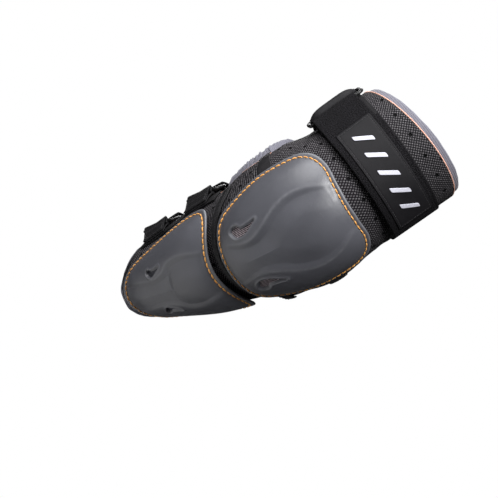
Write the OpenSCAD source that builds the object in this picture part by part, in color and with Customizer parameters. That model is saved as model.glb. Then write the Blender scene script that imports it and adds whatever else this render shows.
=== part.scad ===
// Elbow and forearm guard: a soft sleeve with two moulded caps, one wide
// upper-arm strap with a folded label tab and two narrow forearm straps.
// The origin is the elbow's centre. +Z runs up the upper arm, +X runs across
// the elbow towards the body, and -Y is the outer side that the caps cover.
// A place on the sleeve is given by s, the distance along the arm's centre
// line (up is positive, 0 at the elbow), a, the angle round the arm in degrees
// (0 is the outer side, positive towards -X), and d, the height over the mesh.

/* [Arm size] */
// Half width of the sleeve at the upper opening
upper_half_width = 52; // [46:1:56]
// Half depth of the sleeve at the upper opening
upper_half_depth = 48; // [43:1:52]
// Half width of the sleeve at the elbow
elbow_half_width = 50; // [45:1:53]
// Half depth of the sleeve at the elbow
elbow_half_depth = 46; // [42:1:49]
// Half width of the sleeve at the wrist
wrist_half_width = 27; // [24:1:31]
// Half depth of the sleeve at the wrist
wrist_half_depth = 22; // [20:1:26]
// Length of the sleeve above the elbow, to the middle of its hem
upper_length = 93; // [90:1:98]
// Length of the sleeve below the elbow
forearm_length = 176; // [170:1:190]

/* [Bend] */
// Bend of the worn guard at rest, in degrees
rest_bend = 40; // [30:1:45]
// Distance along the arm between the two flex creases
crease_gap = 70; // [66:1:74]

/* [Fabric] */
// Thickness of the outer mesh
mesh_t = 1.4; // [1:0.1:1.6]
// Thickness of the grey liner
liner_t = 1.5; // [1:0.1:2]
// How far the liner shows beyond the mesh edges
lip = 6.5; // [3:0.5:8]
// Half angle that the open-fronted lower sleeve covers
front_half = 104; // [98:1:106]

/* [Caps] */
// Turn of both caps towards the outer side of the arm, in degrees
cap_turn = 7; // [0:1:10]
// Slant of both caps: rise in mm for each degree round the arm
cap_skew = 0.04; // [0:0.005:0.1]
// Wall thickness of the moulded caps
cap_wall = 2.3; // [1.8:0.1:2.6]
// Rise of the elbow cap's dome over its flange
elbow_rise = 7; // [4:0.5:8]
// Rise of the forearm cap's dome over its flange
forearm_rise = 6; // [3:0.5:7]
// Radius of the round end of each vent
vent_r = 3; // [2:0.2:3.6]

/* [Straps] */
// Width of the upper strap
upper_strap_w = 42; // [36:1:42]
// Width of the folded label tab
label_w = 38; // [34:1:39]
// Width of each forearm strap
forearm_strap_w = 28; // [24:1:30]
// Thickness of the strap webbing
web_t = 1.4; // [1:0.1:1.4]
// Diameter of the wire of every strap ring
wire_d = 3; // [2.6:0.1:3.2]
// Clear gap across every strap ring
ring_gap = 9; // [8:0.5:10]

/* [Hidden] */

// Stations along the arm and the sleeve's half width and half depth there
stations = [-190, -140, -90, -45, 0, 45, 95];
side_r = [
  wrist_half_width,
  wrist_half_width + 6,
  wrist_half_width + 14,
  elbow_half_width - 4,
  elbow_half_width,
  (elbow_half_width + upper_half_width) / 2,
  upper_half_width
];
back_r = [
  wrist_half_depth,
  wrist_half_depth + 9,
  elbow_half_depth - 5.5,
  elbow_half_depth - 1,
  elbow_half_depth,
  (elbow_half_depth + upper_half_depth) / 2,
  upper_half_depth
];
crease = crease_gap / 2;
turn_rate = rest_bend / crease_gap;
step = 7.5;
gap = 0.3;
wrap_r = wire_d / 2 + 0.6 + web_t / 2;
bar_d = 5.6;

// Smooth curve through a list of stations
function slope(k, v, i) =
  i == 0 ? (v[1] - v[0]) / (k[1] - k[0])
  : i == len(k) - 1 ? (v[i] - v[i - 1]) / (k[i] - k[i - 1])
  : (v[i + 1] - v[i - 1]) / (k[i + 1] - k[i - 1]);
function cell(k, x, i = 0) = (i >= len(k) - 2 || x < k[i + 1]) ? i : cell(k, x, i + 1);
function ease(k, v, x, i) =
  let (h = k[i + 1] - k[i], t = (x - k[i]) / h)
  (2 * pow(t, 3) - 3 * t * t + 1) * v[i]
  + (pow(t, 3) - 2 * t * t + t) * h * slope(k, v, i)
  + (3 * t * t - 2 * pow(t, 3)) * v[i + 1]
  + (pow(t, 3) - t * t) * h * slope(k, v, i + 1);
function along(k, v, x) =
  let (c = min(max(x, k[0]), k[len(k) - 1])) ease(k, v, c, cell(k, c));
function smooth(t) = let (c = min(max(t, 0), 1)) c * c * (3 - 2 * c);

// Lean of the centre line, its place, and a place on the sleeve
function lean(s) = min(max((crease - s) * turn_rate, 0), rest_bend);
function centre(s) =
  let (
    c = min(max(s, -crease), crease),
    r = 180 / (PI * turn_rate),
    p = lean(s),
    h = rest_bend / 2
  )
  [0, -r * (cos(p) - cos(h)) - (s - c) * sin(p), r * (sin(h) - sin(p)) + (s - c) * cos(p)];
function half_w(s) = along(stations, side_r, s);
function half_d(s) = along(stations, back_r, s);
function on_arm(s, a, d) =
  let (c = centre(s), p = lean(s), u = (half_d(s) + d) * cos(a))
  [-(half_w(s) + d) * sin(a), c[1] - u * cos(p), c[2] - u * sin(p)];

// Two triangles of a four-sided facet
function split(q) = [[q[0], q[1], q[2]], [q[0], q[2], q[3]]];
function join(lists) = [for (l = lists) for (x = l) x];

// A closed sheet between an outer and an inner surface. Both are functions of
// u along the arm and v round it, from 0 to 1. A wrapped sheet is a full ring.
module sheet(nu, nv, outer, inner, wrapped = false) {
  m = wrapped ? nv : nv + 1;
  n = (nu + 1) * m;
  pts = concat(
    [for (i = [0 : nu]) for (j = [0 : m - 1]) outer(i / nu, j / nv)],
    [for (i = [0 : nu]) for (j = [0 : m - 1]) inner(i / nu, j / nv)]
  );
  o = function (i, j) i * m + j % m;
  w = function (i, j) n + i * m + j % m;
  faces = join(concat(
    [for (i = [0 : nu - 1]) for (j = [0 : nv - 1])
      split([o(i, j), o(i, j + 1), o(i + 1, j + 1), o(i + 1, j)])],
    [for (i = [0 : nu - 1]) for (j = [0 : nv - 1])
      split([w(i, j), w(i + 1, j), w(i + 1, j + 1), w(i, j + 1)])],
    [for (j = [0 : nv - 1]) split([o(0, j + 1), o(0, j), w(0, j), w(0, j + 1)])],
    [for (j = [0 : nv - 1]) split([o(nu, j), o(nu, j + 1), w(nu, j + 1), w(nu, j)])],
    wrapped ? [] : [for (i = [0 : nu - 1])
      split([o(i, 0), o(i + 1, 0), w(i + 1, 0), w(i, 0)])],
    wrapped ? [] : [for (i = [0 : nu - 1])
      split([o(i + 1, nv), o(i, nv), w(i, nv), w(i + 1, nv)])]
  ));
  polyhedron(points = pts, faces = faces);
}

// Fabric between two edges that vary round the arm
module fabric(nu, a0, a1, low, high, d_in, d_out, wrapped = false) {
  nv = round((a1 - a0) / step);
  sheet(nu, nv,
    function (u, v) let (a = a0 + (a1 - a0) * v) on_arm(low(a) + (high(a) - low(a)) * u, a, d_out),
    function (u, v) let (a = a0 + (a1 - a0) * v) on_arm(low(a) + (high(a) - low(a)) * u, a, d_in),
    wrapped);
}

// A small bead that follows a closed or open run of places [s, a, d]
module bead(places, w, t, closed = false) {
  n = len(places);
  pick = function (k) places[(k + n) % n];
  dir = function (k)
    let (
      p = pick(closed ? k - 1 : max(k - 1, 0)),
      q = pick(closed ? k + 1 : min(k + 1, n - 1)),
      g = [q[0] - p[0], (q[1] - p[1]) * 0.8],
      l = norm(g)
    ) g / l;
  place = function (k, side, up)
    let (p = pick(k), g = dir(k % n))
    on_arm(p[0] - g[1] * side, p[1] + g[0] * side / 0.8, p[2] + up);
  sheet(1, closed ? n : n - 1,
    function (u, v) place(round(v * (closed ? n : n - 1)), (1 - 2 * u) * w / 2, t / 2),
    function (u, v) place(round(v * (closed ? n : n - 1)), (1 - 2 * u) * w / 2, -t / 2),
    closed);
}

// Half outlines of the caps, [s, angle from the cap's middle line]
elbow_half = [
  [28.5, 0], [29, 18], [29.5, 34], [26, 48], [18, 57], [4, 61],
  [-10, 61], [-23, 56], [-36, 46.5], [-44, 35], [-48, 18], [-49, 0]
];
forearm_half = [
  [-65.5, 0], [-64.5, 14], [-62, 28], [-60, 42], [-61, 54], [-67, 62],
  [-82, 64], [-104, 60.5], [-130, 53.5], [-150, 45.5], [-164, 34], [-171.5, 18], [-174, 0]
];
function full(h) =
  concat(h, [for (i = [len(h) - 2 : -1 : 1]) [h[i][0], -h[i][1]]]);
function loop_at(l, t) =
  let (
    n = len(l), i = floor(t), f = t - i,
    p = l[(i - 1 + n) % n], q = l[i % n], r = l[(i + 1) % n], w = l[(i + 2) % n]
  )
  q + f / 2 * (r - p + f * (2 * p - 5 * q + 4 * r - w + f * (3 * (q - r) + w - p)));
function cap_place(l, mid, rho, k, n) =
  let (e = loop_at(l, k * len(l) / n))
  [mid + rho * (e[0] - mid + cap_skew * e[1]), cap_turn + rho * e[1]];

// Height of a cap's outer face: a flat flange, then a dome
function cap_height(rho, flange, rise) =
  flange + rise * (1 - pow(min(rho / 0.93, 1), 3.2));
function lift(p) = 1.4 * smooth((-30 - p[0]) / 16);

// A domed plate or pad on a cap's outline. Its rings shrink towards the middle.
module domed(l, mid, rhos, n, top, bottom) {
  m = len(rhos);
  at = function (r, k, f) let (p = cap_place(l, mid, r, k, n)) on_arm(p[0], p[1], f(r, p));
  pts = concat(
    [at(0, 0, top)],
    [for (r = rhos) for (k = [0 : n - 1]) at(r, k, top)],
    [at(0, 0, bottom)],
    [for (r = rhos) for (k = [0 : n - 1]) at(r, k, bottom)]
  );
  b = m * n + 1;
  o = function (i, k) 1 + i * n + k % n;
  faces = join(concat(
    [[for (k = [0 : n - 1]) [0, o(0, k + 1), o(0, k)]]],
    [for (i = [0 : m - 2]) for (k = [0 : n - 1])
      split([o(i, k), o(i, k + 1), o(i + 1, k + 1), o(i + 1, k)])],
    [[for (k = [0 : n - 1]) [b, b + o(0, k), b + o(0, k + 1)]]],
    [for (i = [0 : m - 2]) for (k = [0 : n - 1])
      split([b + o(i, k), b + o(i + 1, k), b + o(i + 1, k + 1), b + o(i, k + 1)])],
    [for (k = [0 : n - 1])
      split([o(m - 1, k), o(m - 1, k + 1), b + o(m - 1, k + 1), b + o(m - 1, k)])]
  ));
  polyhedron(points = pts, faces = faces);
}

// Local frame on the sleeve: x round the arm, y outwards, z up the arm
function face_turn(s, a) = atan2(half_d(s) * sin(a), -half_w(s) * cos(a));
module at_arm(s, a, d) {
  translate(centre(s))
    rotate([lean(s), 0, 0])
      translate([-(half_w(s) + d) * sin(a), -(half_d(s) + d) * cos(a), 0])
        rotate([0, 0, face_turn(s, a)])
          children();
}
// A place round a ring's bar: q is 0 outwards and grows towards larger a
function round_bar(s, bar, q, r) =
  let (
    m = bar[0], c = centre(m), p = lean(m), g = face_turn(m, bar[1]),
    x = -(half_w(m) + bar[2]) * sin(bar[1]) + r * (sin(q) * cos(g) - cos(q) * sin(g)),
    y = -(half_d(m) + bar[2]) * cos(bar[1]) + r * (sin(q) * sin(g) + cos(q) * cos(g)),
    z = s - m
  )
  [x, c[1] + y * cos(p) - z * sin(p), c[2] + y * sin(p) + z * cos(p)];

// Teardrop vent that cuts through a cap. Its round end is the lower one, and
// hand is 1 or -1 for the two mirrored vents of a cap.
module vent(s, a, length, hand) {
  at_arm(s, a, 2)
    rotate([-90, 0, 0])
      linear_extrude(height = 18)
        hull() {
          circle(r = vent_r, $fn = 24);
          translate([hand * vent_r * 0.9, -length]) circle(r = vent_r * 0.3, $fn = 16);
        }
}

// Wire ring with its two long bars along the arm
module wire_ring(len_in) {
  x = ring_gap / 2 + wire_d / 2;
  z = len_in / 2 + wire_d / 2;
  for (i = [-1, 1]) {
    translate([i * x, 0, -z]) cylinder(h = 2 * z, d = wire_d, $fn = 32);
    translate([-x, 0, i * z]) rotate([0, 90, 0]) cylinder(h = 2 * x, d = wire_d, $fn = 32);
    for (j = [-1, 1]) translate([i * x, 0, j * z]) sphere(d = wire_d, $fn = 32);
  }
}

// Web that runs round the arm and turns round a bar. It starts at angle a0,
// sits at height d0, and climbs to the bar over the last angles before it.
// side is 1 for the run over the bar and -1 for the run under it.
module web(s0, s1, a0, d0, bar, side, sweep, n, t = web_t) {
  way = bar[1] > a0 ? 1 : -1;
  span = abs(bar[1] - a0);
  climb = 26;
  turns = sweep > 0 ? ceil(sweep / 30) : 0;
  m = n + turns;
  place = function (s, v, h)
    let (k = v * m)
    k <= n
      ? let (
          a = a0 + (bar[1] - a0) * k / n,
          left = span * (1 - k / n),
          d = d0 + (bar[2] + side * wrap_r - d0) * smooth(1 - left / climb)
        )
        left < 0.001 ? round_bar(s, bar, side > 0 ? 0 : 180, wrap_r + side * h)
        : on_arm(s, a, d + h)
      : let (q = (k - n) * sweep / max(turns, 1))
        round_bar(s, bar, way * (side > 0 ? q : 180 - q), wrap_r + side * h);
  up = function (u, v) place(s0 + (s1 - s0) * (way > 0 ? u : 1 - u), v, t / 2);
  down = function (u, v) place(s0 + (s1 - s0) * (way > 0 ? u : 1 - u), v, -t / 2);
  sheet(1, m, up, down);
}

// The short turn of web between the run under a bar and the run over it
module fold(s0, s1, bar, way, q0, q1) {
  place = function (u, v, h)
    round_bar(s0 + (s1 - s0) * (way > 0 ? 1 - u : u), bar, way * (q0 + (q1 - q0) * v), wrap_r + h);
  sheet(1, 4,
    function (u, v) place(1 - u, v, web_t / 2),
    function (u, v) place(1 - u, v, -web_t / 2));
}

// Edges of the fabric pieces, as functions of the angle
hem = function (a) upper_length + 9 * cos(a + 12);
upper_low = function (a) crease + 2 + (cos(a) > 0 ? 6 * cos(a) : -16 * cos(a));
panel_high = function (a) crease - 2 - (cos(a) > 0 ? 6 * cos(a) : -16 * cos(a));
panel_low = function (a) -crease + 2 - (cos(a) > 0 ? 8 * cos(a) : 16 * cos(a));
forearm_high = function (a) -crease - 2 - (cos(a) > 0 ? 20 * cos(a) : -16 * cos(a));
wrist_edge = function (a) -forearm_length - 1 + 25 * smooth((abs(a) - 10) / 95);

// Upper sleeve
module upper_shell() {
  color("#1d1c20")
    fabric(4, -180, 180, upper_low, hem, -mesh_t, 0, wrapped = true);
}
module upper_liner() {
  color("#8c8ea2")
    fabric(4, -180, 180, upper_low, function (a) hem(a) + lip, -0.2 - mesh_t - liner_t, -0.2 - mesh_t,
      wrapped = true);
}
module upper_edge_seam() {
  color("#f09a80")
    fabric(1, -180, 180, function (a) hem(a) + 0.1, function (a) hem(a) + 1.6, -mesh_t, 0.3, wrapped = true);
}

// Upper strap: it is sewn on the inner side, crosses the outer side and turns
// round the near bar of its ring, then comes back as the label tab
strap_s0 = 42.5;
strap_s1 = strap_s0 + upper_strap_w;
upper_ring_s = strap_s0 + upper_strap_w / 2;
upper_ring_a = 91;
bar_step = (ring_gap + wire_d) / 2;
near_a = upper_ring_a - bar_step / (half_w(upper_ring_s) + bar_d) * 180 / PI;
far_a = upper_ring_a + bar_step / (half_w(upper_ring_s) + bar_d) * 180 / PI;
label_bar = [upper_ring_s, near_a, bar_d];
anchor_bar = [upper_ring_s, far_a, bar_d];
low_web = gap + web_t / 2;

module upper_strap() {
  color("#161519")
    web(strap_s0, strap_s1, -104, low_web, label_bar, -1, 84, 26);
}
module upper_anchor_strap() {
  color("#161519")
    web(strap_s0 + 1, strap_s1 - 2.7, 252, low_web, anchor_bar, -1, 150, 21);
}
module upper_strap_ring() {
  color("#0d0d0f")
    at_arm(upper_ring_s, upper_ring_a, bar_d)
      wire_ring(upper_strap_w + 2);
}
module loop_field() {
  color("#232127")
    fabric(1, -60, 52.5, function (a) strap_s0 + 1, function (a) strap_s1 - 1,
      gap + web_t + 0.2, gap + web_t + 1);
}
label_s0 = strap_s0;
label_s1 = label_s0 + label_w;
label_mid = gap + web_t + 1.1 + gap + 0.7 + web_t / 2;
module label_fold() {
  color("#161519")
    fold(label_s0, label_s1, label_bar, 1, 12, 92);
}
module label_tab() {
  color("#161519")
    web(label_s0, label_s1, -52.5, label_mid, label_bar, 1, 0, 19);
}
module hook_patch() {
  color("#101012")
    fabric(1, -51, 1.5, function (a) label_s0 + 1, function (a) label_s1 - 1,
      label_mid - web_t / 2 - 0.7, label_mid - web_t / 2 - 0.2);
}
module label_patch() {
  color("#1b1a1e")
    fabric(1, -41, 55, function (a) label_s0 + 5.5, function (a) label_s1 - 2.5,
      label_mid + web_t / 2 + 0.15, label_mid + web_t / 2 + 0.85);
}
// Generic mark: five slender slanted bars
module label_mark() {
  low = label_mid + web_t / 2 + 1;
  color("#d9d9e2")
    for (i = [-2 : 2])
      sheet(2, 2,
        function (u, v) on_arm(label_s0 + 14 + 13 * u, 10 + i * 16 + 4 * v - 9 * u, low + 0.5),
        function (u, v) on_arm(label_s0 + 14 + 13 * u, 10 + i * 16 + 4 * v - 9 * u, low));
}

// Elbow section
module elbow_panel() {
  color("#1d1c20")
    fabric(8, -front_half, front_half, panel_low, panel_high, -mesh_t, 0);
}
module elbow_liner() {
  color("#8c8ea2")
    fabric(8, -front_half - 7, front_half + 7, panel_low, panel_high, -0.2 - mesh_t - liner_t, -0.2 - mesh_t);
}
elbow_flange = 6;
forearm_flange = 5.4;
module elbow_pad() {
  color("#2b2b30")
    domed(full(elbow_half), -7, [0.2, 0.45, 0.7, 0.82, 0.87], 36,
      function (r, p) cap_height(r, elbow_flange, elbow_rise) - cap_wall - 2 * gap + lift(p),
      function (r, p) 2.5 * gap);
}
module elbow_cap() {
  color("#5a5b63")
    resize([0, 0, 0])
      difference() {
        domed(full(elbow_half), -7, [0.18, 0.38, 0.56, 0.72, 0.85, 0.93, 1], 44,
          function (r, p) cap_height(r, elbow_flange, elbow_rise) + lift(p),
          function (r, p) cap_height(r, elbow_flange, elbow_rise) - cap_wall + lift(p));
        for (i = [-1, 1]) vent(-28 + i * 22 * cap_skew, cap_turn + i * 22, 13, i);
      }
}
module elbow_cap_stitching() {
  l = full(elbow_half);
  color("#e0952a")
    bead([for (k = [0 : 43])
      let (p = cap_place(l, -7, 0.955, k, 44)) [p[0], p[1], elbow_flange + lift(p) + 0.55]],
      1.2, 0.8, closed = true);
}
module seam_tapes() {
  color("#131316")
    for (side = [-1, 1])
      fabric(1, side > 0 ? 68 : -103, side > 0 ? 103 : -68,
        function (a) -10, function (a) 1.5, gap, gap + 0.9);
}
module crook_edge_seams() {
  color("#f09a80")
    for (side = [-1, 1])
      sheet(8, 1,
        function (u, v)
          let (a = side * (front_half + 0.9) + (v - 0.5) * 1.6)
          on_arm(panel_low(a) + (panel_high(a) - panel_low(a)) * u, a, 0.3),
        function (u, v)
          let (a = side * (front_half + 0.9) + (v - 0.5) * 1.6)
          on_arm(panel_low(a) + (panel_high(a) - panel_low(a)) * u, a, -mesh_t));
}

// Stretch gussets that close the sleeve at the two flex creases
module upper_gusset() {
  color("#2a292e")
    fabric(2, -180, 180, function (a) panel_high(a) + 0.4, function (a) upper_low(a) - 0.4,
      -mesh_t, 0, wrapped = true);
}
module lower_gusset() {
  color("#2a292e")
    fabric(2, -front_half, front_half, function (a) forearm_high(a) + 0.4, function (a) panel_low(a) - 0.4,
      -mesh_t, 0);
}

// Forearm section
module forearm_shell() {
  color("#1d1c20")
    fabric(9, -front_half, front_half, wrist_edge, forearm_high, -mesh_t, 0);
}
module forearm_liner() {
  color("#8c8ea2")
    fabric(9, -front_half - 7, front_half + 7, function (a) wrist_edge(a) - 5, forearm_high,
      -0.2 - mesh_t - liner_t, -0.2 - mesh_t);
}
module forearm_pad() {
  color("#2b2b30")
    domed(full(forearm_half), -112, [0.2, 0.45, 0.7, 0.88, 0.95], 36,
      function (r, p) cap_height(r, forearm_flange, forearm_rise) - cap_wall - 2 * gap,
      function (r, p) 2.5 * gap);
}
module forearm_cap() {
  color("#5a5b63")
    resize([0, 0, 0])
      difference() {
        domed(full(forearm_half), -112, [0.18, 0.38, 0.56, 0.72, 0.85, 0.93, 1], 48,
          function (r, p) cap_height(r, forearm_flange, forearm_rise),
          function (r, p) cap_height(r, forearm_flange, forearm_rise) - cap_wall);
        for (i = [-1, 1]) vent(-129 + i * 22 * cap_skew, cap_turn + i * 22, 13, i);
      }
}
module forearm_cap_stitching() {
  l = full(forearm_half);
  color("#e0952a")
    bead([for (k = [0 : 47])
      let (p = cap_place(l, -112, 0.955, k, 48)) [p[0], p[1], forearm_flange + 0.55]],
      1.2, 0.8, closed = true);
}
module forearm_binding() {
  mid = function (a) -56.8 + 20 * (1 - cos(a - cap_turn));
  half = function (a) 2.4 + 1.9 * smooth((abs(a - cap_turn) - 15) / 50);
  color("#131316")
    fabric(1, -70, 84, function (a) mid(a) - half(a), function (a) mid(a) + half(a), gap, gap + 1.4);
}
module forearm_edge_seam() {
  color("#f09a80") {
    for (side = [-1, 1])
      sheet(9, 1,
        function (u, v)
          let (a = side * (front_half + 0.9) + (v - 0.5) * 1.6)
          on_arm(wrist_edge(a) + (forearm_high(a) - wrist_edge(a)) * u, a, 0.3),
        function (u, v)
          let (a = side * (front_half + 0.9) + (v - 0.5) * 1.6)
          on_arm(wrist_edge(a) + (forearm_high(a) - wrist_edge(a)) * u, a, -mesh_t));
    fabric(1, -front_half, front_half, function (a) wrist_edge(a) - 1.6, function (a) wrist_edge(a) - 0.1,
      -mesh_t, 0.3);
  }
}
module side_webbing() {
  color("#101013")
    for (side = [-1, 1])
      sheet(8, 3,
        function (u, v)
          on_arm(-149 + 91 * u, side * 91 + (v - 0.5) * 18, gap + 1.1),
        function (u, v)
          on_arm(-149 + 91 * u, side * 91 + (v - 0.5) * 18, gap + 0.1));
}

// Forearm straps. Each is anchored on the inner edge, crosses the open side,
// turns round its ring's far bar and comes back over itself as a tab.
crook_strap_s = -79;
wrist_strap_s = -132;
strap_bar_d = 6.2;
function ring_a(s) = 112;
function bar_turn(s) = bar_step / (half_d(s) + strap_bar_d) * 180 / PI;
function hold_bar(s) = [s, ring_a(s) - bar_turn(s), strap_bar_d];
function pull_bar(s) = [s, ring_a(s) + bar_turn(s), strap_bar_d];
module strap_anchor(s) {
  w = forearm_strap_w - 2;
  color("#131316")
    web(s - w / 2, s + w / 2, 84, 2.3, hold_bar(s), -1, 150, 5);
}
module strap_ring(s) {
  color("#0d0d0f")
    at_arm(s, ring_a(s), strap_bar_d)
      wire_ring(forearm_strap_w + 2);
}
module strap_band(s) {
  w = forearm_strap_w;
  color("#161519")
    web(s - w / 2, s + w / 2, 264, 2.3, pull_bar(s), -1, 84, 18);
}
module strap_tab(s) {
  w = forearm_strap_w;
  color("#1b1a1e")
    web(s - w / 2, s + w / 2, 198, 4.5, pull_bar(s) + [0, 0, 0.5], 1, 0, 11);
}
module crook_strap_anchor() { strap_anchor(crook_strap_s); }
module crook_strap_ring() { strap_ring(crook_strap_s); }
module crook_strap_band() { strap_band(crook_strap_s); }
module crook_strap_tab() { strap_tab(crook_strap_s); }
module wrist_strap_anchor() { strap_anchor(wrist_strap_s); }
module wrist_strap_ring() { strap_ring(wrist_strap_s); }
module wrist_strap_band() { strap_band(wrist_strap_s); }
module wrist_strap_tab() { strap_tab(wrist_strap_s); }

upper_shell();
upper_liner();
upper_edge_seam();
upper_strap();
upper_anchor_strap();
upper_strap_ring();
loop_field();
label_fold();
label_tab();
hook_patch();
label_patch();
label_mark();
elbow_panel();
elbow_liner();
elbow_pad();
elbow_cap();
elbow_cap_stitching();
seam_tapes();
crook_edge_seams();
upper_gusset();
lower_gusset();
forearm_shell();
forearm_liner();
forearm_pad();
forearm_cap();
forearm_cap_stitching();
forearm_binding();
forearm_edge_seam();
side_webbing();
crook_strap_anchor();
crook_strap_ring();
crook_strap_band();
crook_strap_tab();
wrist_strap_anchor();
wrist_strap_ring();
wrist_strap_band();
wrist_strap_tab();
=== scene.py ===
import math
import bmesh
import bpy
import numpy as np
from mathutils import Matrix, Vector


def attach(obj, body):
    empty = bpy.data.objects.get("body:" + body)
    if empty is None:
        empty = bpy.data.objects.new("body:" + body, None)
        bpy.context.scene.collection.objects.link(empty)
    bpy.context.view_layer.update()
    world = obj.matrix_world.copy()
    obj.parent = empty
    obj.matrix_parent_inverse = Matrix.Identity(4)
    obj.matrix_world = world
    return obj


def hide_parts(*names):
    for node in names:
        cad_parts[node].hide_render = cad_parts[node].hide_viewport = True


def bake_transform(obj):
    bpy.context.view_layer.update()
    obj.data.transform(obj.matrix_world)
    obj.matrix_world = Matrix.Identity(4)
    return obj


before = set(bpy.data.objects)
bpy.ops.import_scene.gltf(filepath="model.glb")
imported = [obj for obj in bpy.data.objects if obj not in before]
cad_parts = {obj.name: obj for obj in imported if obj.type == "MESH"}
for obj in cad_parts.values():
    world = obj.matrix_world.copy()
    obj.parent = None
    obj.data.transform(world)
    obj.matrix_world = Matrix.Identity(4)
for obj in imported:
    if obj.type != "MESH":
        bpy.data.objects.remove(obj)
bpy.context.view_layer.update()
scene = bpy.context.scene
pi = math.pi

# ------------------------------------------------------------------ the arm
# A place is s (mm along the arm), a (degrees round it) and d (mm over the mesh),
# with the same stations and the same bend as the CAD source.
ST = np.array([-190., -140, -90, -45, 0, 45, 95])
HW = np.array([27., 33, 41, 46, 50, 51, 52])
HD = np.array([22., 31, 40.5, 45, 46, 47, 48])
BEND, CREASE = 40.0, 35.0
RATE = BEND / (2 * CREASE)
HEM_TOP = 93.0


def hermite(k, v, x):
    k, v = np.asarray(k, float), np.asarray(v, float)
    m = np.empty(len(k))
    m[0] = (v[1] - v[0]) / (k[1] - k[0])
    m[-1] = (v[-1] - v[-2]) / (k[-1] - k[-2])
    m[1:-1] = (v[2:] - v[:-2]) / (k[2:] - k[:-2])
    x = np.clip(x, k[0], k[-1])
    i = np.clip(np.searchsorted(k, x, "right") - 1, 0, len(k) - 2)
    h = k[i + 1] - k[i]
    t = (x - k[i]) / h
    return ((2 * t**3 - 3 * t**2 + 1) * v[i] + (t**3 - 2 * t**2 + t) * h * m[i]
            + (3 * t**2 - 2 * t**3) * v[i + 1] + (t**3 - t**2) * h * m[i + 1])


def ease(t):
    t = np.clip(t, 0, 1)
    return t * t * (3 - 2 * t)


def cosd(a):
    return np.cos(np.radians(a))


def sind(a):
    return np.sin(np.radians(a))


def lean(s):
    return np.clip((CREASE - np.asarray(s, float)) * RATE, 0, BEND)


def centre(s):
    s = np.asarray(s, float)
    c, p, r = np.clip(s, -CREASE, CREASE), lean(s), 180 / (pi * RATE)
    return (-r * (cosd(p) - cosd(BEND / 2)) - (s - c) * sind(p),
            r * (sind(BEND / 2) - sind(p)) + (s - c) * cosd(p))


def on(s, a, d):
    s, a, d = np.broadcast_arrays(np.asarray(s, float), np.asarray(a, float), np.asarray(d, float))
    y, z = centre(s)
    p, u = lean(s), (hermite(ST, HD, s) + d) * cosd(a)
    return np.stack([-(hermite(ST, HW, s) + d) * sind(a), y - u * cosd(p), z - u * sind(p)], -1)


def girth(s):
    return (hermite(ST, HW, s) + hermite(ST, HD, s)) / 2


def waves(x, y, seed, wavelength):
    """Smooth repeatable noise of about -1 to 1."""
    g = np.random.default_rng(seed)
    out, count = 0, 7
    for _ in range(count):
        t, f, k = g.uniform(0, 2 * pi), g.uniform(0, 2 * pi), 2 * pi / (wavelength * g.uniform(.7, 1.5))
        out = out + np.sin(k * (x * math.cos(t) + y * math.sin(t)) + f)
    return out / math.sqrt(count) / 1.3


# ------------------------------------------------------------- mesh builders
def pad(U, P, wi, wj):
    """Adds the closing row and column that a wrapped grid's UVs need."""
    if wj and U.shape[1] == P.shape[1]:
        U = np.concatenate([U, U[:, :1]], 1)
    if wi and U.shape[0] == P.shape[0]:
        U = np.concatenate([U, U[:1] + (U[-1:] - U[-2:-1]) + (U[-1:] - U[:1])], 0)
    return U


def grids(name, parts, mats, attrs=None):
    """One mesh from several grids (P, U, wrap first index, wrap second index, caps)."""
    verts, faces, uvs, mi, base = [], [], [], [], 0
    for part in parts:
        P, U, wi, wj, caps = part[:5]
        n, m = P.shape[:2]
        U = pad(U, P, wi, wj)
        i, j = np.meshgrid(np.arange(n if wi else n - 1), np.arange(m if wj else m - 1), indexing="ij")
        F = np.stack([i * m + j, i * m + (j + 1) % m, (i + 1) % n * m + (j + 1) % m, (i + 1) % n * m + j],
                     -1).reshape(-1, 4) + base
        K = U.shape[1]
        L = np.stack([i * K + j, i * K + j + 1, (i + 1) * K + j + 1, (i + 1) * K + j], -1).reshape(-1)
        faces += F.tolist()
        uvs.append(U.reshape(-1, 2)[L])
        mi.append(part[5].reshape(-1) if len(part) > 5 else np.zeros(len(F), int))
        if caps:
            for row in (0, n - 1):
                faces.append((np.arange(m) + row * m + base).tolist())
                uvs.append(U[row, :m])
                mi.append(np.zeros(1, int))
        verts.append(P.reshape(-1, 3))
        base += n * m
    me = bpy.data.meshes.new(name)
    me.from_pydata((np.concatenate(verts) / 1000).tolist(), [], faces)
    layer = me.uv_layers.new(name="UVMap")
    layer.data.foreach_set("uv", (np.concatenate(uvs) / 100).astype(np.float32).ravel())
    me.polygons.foreach_set("material_index", np.concatenate(mi).astype(np.int32))
    for key, val in (attrs or {}).items():
        me.attributes.new(key, "FLOAT", "POINT").data.foreach_set("value", val.astype(np.float32).ravel())
    bm = bmesh.new()
    bm.from_mesh(me)
    bmesh.ops.recalc_face_normals(bm, faces=bm.faces)
    bm.to_mesh(me)
    bm.free()
    me.shade_smooth()
    for mat in mats if isinstance(mats, (list, tuple)) else [mats]:
        me.materials.append(mat)
    ob = bpy.data.objects.new(name, me)
    scene.collection.objects.link(ob)
    return ob


def section(n, t, k=5):
    """A closed strip's section: share of the width, offset in mm, height in mm."""
    q = np.linspace(0, 1, n)
    th = np.linspace(pi / 2, -pi / 2, k + 2)[1:-1]
    f = np.concatenate([q, np.ones(k), q[::-1], np.zeros(k)])
    o = np.concatenate([t / 2 * (1 - 2 * q), -t / 2 + t / 2 * np.cos(th),
                        t / 2 * (1 - 2 * q[::-1]), t / 2 - t / 2 * np.cos(th)])
    h = np.concatenate([np.full(n, t / 2), t / 2 * np.sin(th), np.full(n, -t / 2), -t / 2 * np.sin(th)])
    return f, o, h


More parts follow.
